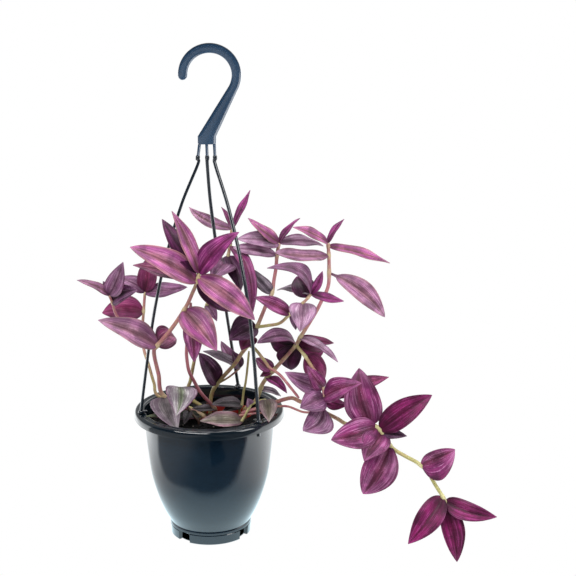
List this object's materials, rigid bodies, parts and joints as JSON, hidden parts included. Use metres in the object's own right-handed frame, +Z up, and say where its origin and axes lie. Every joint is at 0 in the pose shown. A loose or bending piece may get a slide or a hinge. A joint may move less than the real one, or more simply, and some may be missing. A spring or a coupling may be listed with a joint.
{
  "type": "potted tradescantia",
  "caption": "Trailing tradescantia with pointed purple and pink striped leaves, in a nursery pot inside a glossy round hanging pot with bowed arms and a moulded hook.",
  "frame": {"origin": "inside top of the hook's curve, at the middle of its thickness, where the pot hangs", "axes": "+Z up along the hang line, +X towards the viewer's right, where the long stem trails, +Y away from the viewer"},
  "size_m": [0.3756, 0.18, 0.4592],
  "materials": {
    "pot_gloss": "glossy moulded",
    "hanger": "satin moulded",
    "nursery": "thin matt",
    "soil": "rough, crumbly",
    "leaf_rosy": "satin, striped along the blade",
    "leaf_wine": "satin, striped along the blade",
    "leaf_plum": "satin, striped along the blade"
  },
  "bodies": {
    "root": {"pot": "pot_gloss", "hook": "hanger", "arm_left": "hanger", "arm_right": "hanger", "arm_back": "hanger", "nursery_pot": "nursery", "soil": "soil", "soil_bed": "soil", "stem_front_left": "leaf_rosy", "stem_far_left": "leaf_wine", "stem_inner_left": "leaf_plum", "stem_back": "leaf_plum", "stem_centre": "leaf_rosy", "stem_thin": "leaf_plum", "stem_short": "leaf_plum", "stem_right": "leaf_rosy", "stem_trailing": "leaf_wine", "stem_low_right": "leaf_plum", "stem_low_left": "leaf_plum"}
  },
  "joints": []
}
